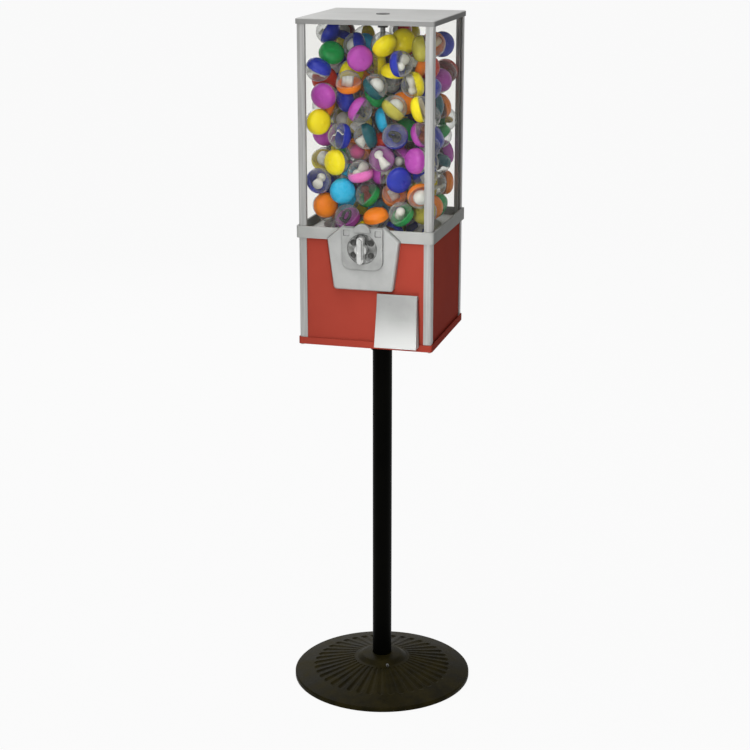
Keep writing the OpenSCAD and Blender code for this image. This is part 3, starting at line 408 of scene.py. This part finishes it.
def add_wells():
    """Dark dished bowls set in the four finger recesses round the knob, as painted shade where the recesses
    fall dark.
    """
    outside = [(0, -0.0006), (0.0026, -0.0004), (0.0044, 0.0002), (0.0057, 0.0011), (0.0059, 0.0016)]
    inside = [(0.0056, 0.0016), (0.0054, 0.0012), (0.0042, 0.0004), (0, -0.0002)]
    bowl, faces = lathe(outside + inside, 28)
    # the lathe's axis turns to point out of the front
    bowl = bowl[:, [0, 2, 1]] * [1, -1, 1]
    places = [Matrix.Translation((sx * WELL_AT[0], -WELL_FLOOR, KNOB_Z + sz * WELL_AT[1]))
              for sx in (-1, 1) for sz in (-1, 1)]
    # painted shade: dark bowls set into the recesses
    dark = solid("well_painted_shade", "#2a2a29", "#484846", (0.25, 0.4), metal=0.3, patch=120)
    merged("recess_painted_shade", (bowl, faces), places, dark, "knob_body")


def push_from_bounds(p):
    """Keeps sphere centres clear of the windows, the rod, the hopper, its hood and the wheel."""
    side = WINDOW_IN - HEAP_R
    p[:, :2] = np.clip(p[:, :2], -side, side)
    flat = np.hypot(p[:, 0], p[:, 1]) + 1e-9
    near = np.maximum(HEAP_R + ROD_R - flat, 0)
    p[:, :2] += p[:, :2] / flat[:, None] * near[:, None]
    flat = np.hypot(p[:, 0], p[:, 1]) + 1e-9
    p[:, 2] = np.maximum(p[:, 2], MOUTH_Z + HEAP_R)
    rim = flat > RIM_R
    p[rim, 2] = np.maximum(p[rim, 2], RIM_Z + HEAP_R)
    tilt = math.atan2(RIM_Z - MOUTH_Z, RIM_R - MOUTH_R)
    away = np.array([-math.sin(tilt), math.cos(tilt)])
    depth = HEAP_R - ((flat - MOUTH_R) * away[0] + (p[:, 2] - MOUTH_Z) * away[1])
    touch = (depth > 0) & (flat > MOUTH_R - LIP_REACH)
    p[touch, :2] += p[touch, :2] / flat[touch, None] * (depth[touch] * away[0])[:, None]
    p[touch, 2] += depth[touch] * away[1]
    over = p[:, [0, 2]] - [0, HOOD_Z]
    gap = np.hypot(over[:, 0], over[:, 1]) + 1e-9
    hood = (gap < HOOD_R + HEAP_R) & (p[:, 1] < HOOD_END)
    p[hood, 0] += (over[hood, 0] / gap[hood]) * (HOOD_R + HEAP_R - gap[hood])
    p[hood, 2] += (over[hood, 1] / gap[hood]) * (HOOD_R + HEAP_R - gap[hood])


def settle():
    """Centres of the capsules after they have been poured in and have come to rest."""
    side = WINDOW_IN - HEAP_R
    p = np.empty((CAPSULE_COUNT, 3))
    p[:, :2] = rng.uniform(-side, side, (CAPSULE_COUNT, 2))
    p[:, 2] = MOUTH_Z + POUR_FROM + np.arange(CAPSULE_COUNT) / CAPSULE_COUNT * POUR_OVER
    size = 2 * HEAP_R + SLACK
    for step in range(SETTLE_STEPS):
        p[:, 2] -= FALL * max(0.06, 1 - step / (SETTLE_STEPS * 0.8))
        if step < SETTLE_STEPS * 0.7:
            p[:, :2] += rng.normal(0, JITTER, (CAPSULE_COUNT, 2))
        for _ in range(ROUNDS):
            diff = p[:, None, :] - p[None, :, :]
            dist = np.sqrt((diff**2).sum(-1)) + np.eye(CAPSULE_COUNT)
            overlap = np.clip(size - dist, 0, None)
            np.fill_diagonal(overlap, 0)
            push = (diff / dist[..., None] * overlap[..., None]).sum(1)
            count = np.maximum((overlap > 0).sum(1), 1)[:, None]
            p += push * 0.5 / np.sqrt(count)
            push_from_bounds(p)
    return p


CAP_COLOURS = {
    "yellow": ("#f8e60a", "#f2dc04", 30),
    "orange": ("#f68a0c", "#ee7c06", 36),
    "blue": ("#2434b0", "#1c2ca0", 42),
    "purple": ("#b84cb2", "#aa3ea6", 24),
    "pink": ("#f082cc", "#e86cbc", 8),
    "green": ("#1fa04e", "#168e42", 15),
    "light_blue": ("#2cb4de", "#20a4d2", 12),
    "red": ("#cc3214", "#bc260e", 14),
    "teal": ("#0f565e", "#0a4a52", 10),
    "olive": ("#b8b048", "#a8a03a", 12),
}

TOYS = {
    "ball": (ball_toy, [("#f4f4f0", "#e4e4de"), ("#f0e03a", "#e6d42c"), ("#e25a9a", "#d64c8c")]),
    "ring": (ring_toy, [("#1c1c1e", "#2a2a2c"), ("#d8b84a", "#caa83c")]),
    "figure": (figure_toy, [("#f6f4ee", "#eae6dc"), ("#e8d8b8", "#dccaa6"), ("#7a3324", "#8c4030")]),
    "slip": (slip_toy, [("#fbfbf8", "#efefe9"), ("#6a6a68", "#7c7c7a")]),
}


def gloss(name, low, high):
    """Shiny moulded plastic."""
    return solid(name, low, high, (0.2, 0.3), patch=40, grain=(300.0, 0.03, 0.0002), edge=0.0, specular=0.3)


def any_turn():
    """Random turn, as a matrix."""
    return Euler(rng.uniform(0, 2 * math.pi, 3)).to_matrix().to_4x4()


def fill_cabinet():
    """Pours the capsules in and builds them as one piece for each colour."""
    centres = settle()
    centres = centres[centres[:, 2] < LID_UNDER - HEAP_R]
    poses = [Matrix.Translation(Vector(c)) @ any_turn() for c in centres]
    weights = np.array([v[2] for v in CAP_COLOURS.values()], float)
    picks = rng.choice(len(weights), len(poses), p=weights / weights.sum())
    for k, (name, (high, low, _)) in enumerate(CAP_COLOURS.items()):
        mine = [poses[i] for i in np.flatnonzero(picks == k)]
        merged("caps_" + name, cap_shape(), mine, gloss("cap_" + name, low, high))
    # painted shade: the grey shown towards each dome's edges stands in for the dark refraction at the rims
    # of clear plastic
    dome = clear("capsule_clear", "#f4f5f4", "#8d8f8c", (0.04, 0.7), gloss=0.06, facing=0.35)
    merged("domes", dome_shape(), poses, dome)
    fill_toys(poses)
    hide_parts("capsule_caps_warm")
    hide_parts("capsule_caps_cool")
    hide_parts("capsule_domes")


def fill_toys(poses):
    """A prize in each capsule, a little towards its clear half."""
    kinds = [(name, k) for name, (_, colours) in TOYS.items() for k in range(len(colours))]
    shares = np.array([3.0 if k == 0 and name != "ring" else 1.0 for name, k in kinds])
    picks = rng.choice(len(kinds), len(poses), p=shares / shares.sum())
    lift = Matrix.Translation((0, 0, TOY_LIFT))
    for index, (name, k) in enumerate(kinds):
        build, colours = TOYS[name]
        mine = []
        for i in np.flatnonzero(picks == index):
            mine.append(poses[i] @ lift @ any_turn() @ Matrix.Scale(TOY_SCALE, 4))
        label = f"toys_{name}_{k}"
        merged(label, build(), mine, gloss(label, *colours[k]))


# ---- Stage ----

FLOOR_R = 45.0
FLOOR_WHITE = 0.93  # share of plain white in what is seen of the floor; the rest keeps the shadow
CAMERA_AT = (15.0, 3.2, 1.58)  # azimuth in degrees, distance from the pole and height in metres
CAMERA_TURN = (15.26, 16.41)  # azimuth and downward pitch of the view, in degrees
FOCAL_PX = 1704  # for an image 750 wide
AMBIENT_FROM = (-0.35, -0.80, 0.48)  # where the soft light is strongest
AMBIENT = (0.05, 0.67)  # its least and greatest strength
SKY_SEEN = 0.955  # as bright as the floor looks, so that no horizon shows


def add_camera():
    """Camera of the photo: at the front right and looking down from above the lid."""
    data = bpy.data.cameras.new("camera")
    data.sensor_width = 36
    data.lens = FOCAL_PX / 750 * 36
    data.clip_end = 200
    cam = bpy.data.objects.new("camera", data)
    a = math.radians(CAMERA_AT[0])
    cam.location = (CAMERA_AT[1] * math.sin(a), -CAMERA_AT[1] * math.cos(a), CAMERA_AT[2])
    cam.rotation_euler = (math.radians(90 - CAMERA_TURN[1]), 0, math.radians(CAMERA_TURN[0]))
    bpy.context.scene.collection.objects.link(cam)
    bpy.context.scene.camera = cam


def seen_or_reflected(n):
    """1 for rays from the camera, off gloss and through clear parts, and 0 for the rest."""
    path = n.add("ShaderNodeLightPath")
    seen = path.outputs["Is Camera Ray"]
    for kind in ("Is Glossy Ray", "Is Transmission Ray"):
        either = n.add("ShaderNodeMath", **{"0": seen, "1": path.outputs[kind]})
        either.operation = "MAXIMUM"
        seen = either.outputs[0]
    return seen


def add_floor():
    """Wide pale floor that keeps the shadow and is nearly white to the camera."""
    verts, faces = lathe([(0, 0), (0.6, 0), (3.0, 0), (12.0, 0), (FLOOR_R, 0)], 64)
    mesh = bpy.data.meshes.new("floor")
    mesh.from_pydata(verts.tolist(), [], faces)
    n = Nodes(bpy.data.materials.new("floor"))
    plain = n.add("ShaderNodeBsdfDiffuse", Color=(*rgb("#d4d4d4"), 1))
    glow = n.add("ShaderNodeEmission", Color=(1, 1, 1, 1), Strength=1.0)
    share = n.add("ShaderNodeMath", **{"0": seen_or_reflected(n), "1": FLOOR_WHITE})
    share.operation = "MULTIPLY"
    mix = n.add("ShaderNodeMixShader", Fac=share.outputs[0])
    n.set(mix, "1", plain.outputs[0])
    n.set(mix, "2", glow.outputs[0])
    mesh.materials.append(n.finish(mix.outputs[0]))
    floor = bpy.data.objects.new("floor", mesh)
    floor.location.z = -0.0005
    bpy.context.scene.collection.objects.link(floor)


def add_world():
    """White surroundings, which light matt surfaces more from the front left and above."""
    n = Nodes(bpy.data.worlds.new("studio"), "ShaderNodeOutputWorld")
    place = n.add("ShaderNodeTexCoord")
    toward = n.add("ShaderNodeVectorMath", **{"0": place.outputs["Generated"], "1": AMBIENT_FROM})
    toward.operation = "DOT_PRODUCT"
    soft = n.add("ShaderNodeMapRange", Value=toward.outputs["Value"])
    soft.inputs["From Min"].default_value = -0.7
    soft.inputs["From Max"].default_value = 0.9
    soft.inputs["To Min"].default_value = AMBIENT[0]
    soft.inputs["To Max"].default_value = AMBIENT[1]
    strength = n.add("ShaderNodeMapRange", Value=seen_or_reflected(n))
    n.set(strength, "To Min", soft.outputs["Result"])
    strength.inputs["To Max"].default_value = SKY_SEEN
    back = n.add("ShaderNodeBackground", Color=(1, 1, 1, 1), Strength=strength.outputs["Result"])
    bpy.context.scene.world = n.finish(back.outputs[0])


def add_lamp(name, at, target, size, power, in_gloss=True):
    """Area lamp that the camera doesn't see."""
    data = bpy.data.lights.new(name, "AREA")
    data.shape = "RECTANGLE"
    data.size, data.size_y = size
    data.energy = power
    lamp = bpy.data.objects.new(name, data)
    lamp.location = at
    lamp.rotation_euler = (Vector(target) - Vector(at)).to_track_quat("-Z", "Y").to_euler()
    lamp.visible_camera = False
    lamp.visible_glossy = in_gloss
    bpy.context.scene.collection.objects.link(lamp)


def add_light():
    """Soft surroundings, a key from the front, a thin strip by the front right post, top and back."""
    add_world()
    add_lamp("key", (-0.1, -3.2, 2.2), (0, 0, 0.95), (0.8, 2.0), 12)
    add_lamp("strip", (0.09, -0.42, 1.02), (0.09, 0, 1.02), (0.05, 1.0), 1.2, in_gloss=False)
    add_lamp("top", (-0.4, -0.8, 3.3), (0, 0, 1.2), (1.6, 1.6), 18.5)
    add_lamp("back", (-1.6, 2.8, 2.2), (0, 0, 0.9), (1.4, 2.0), 22)


bpy.context.scene.view_settings.view_transform = "Standard"
add_camera()
add_floor()
add_light()
dress_cad()
add_wells()
fill_cabinet()
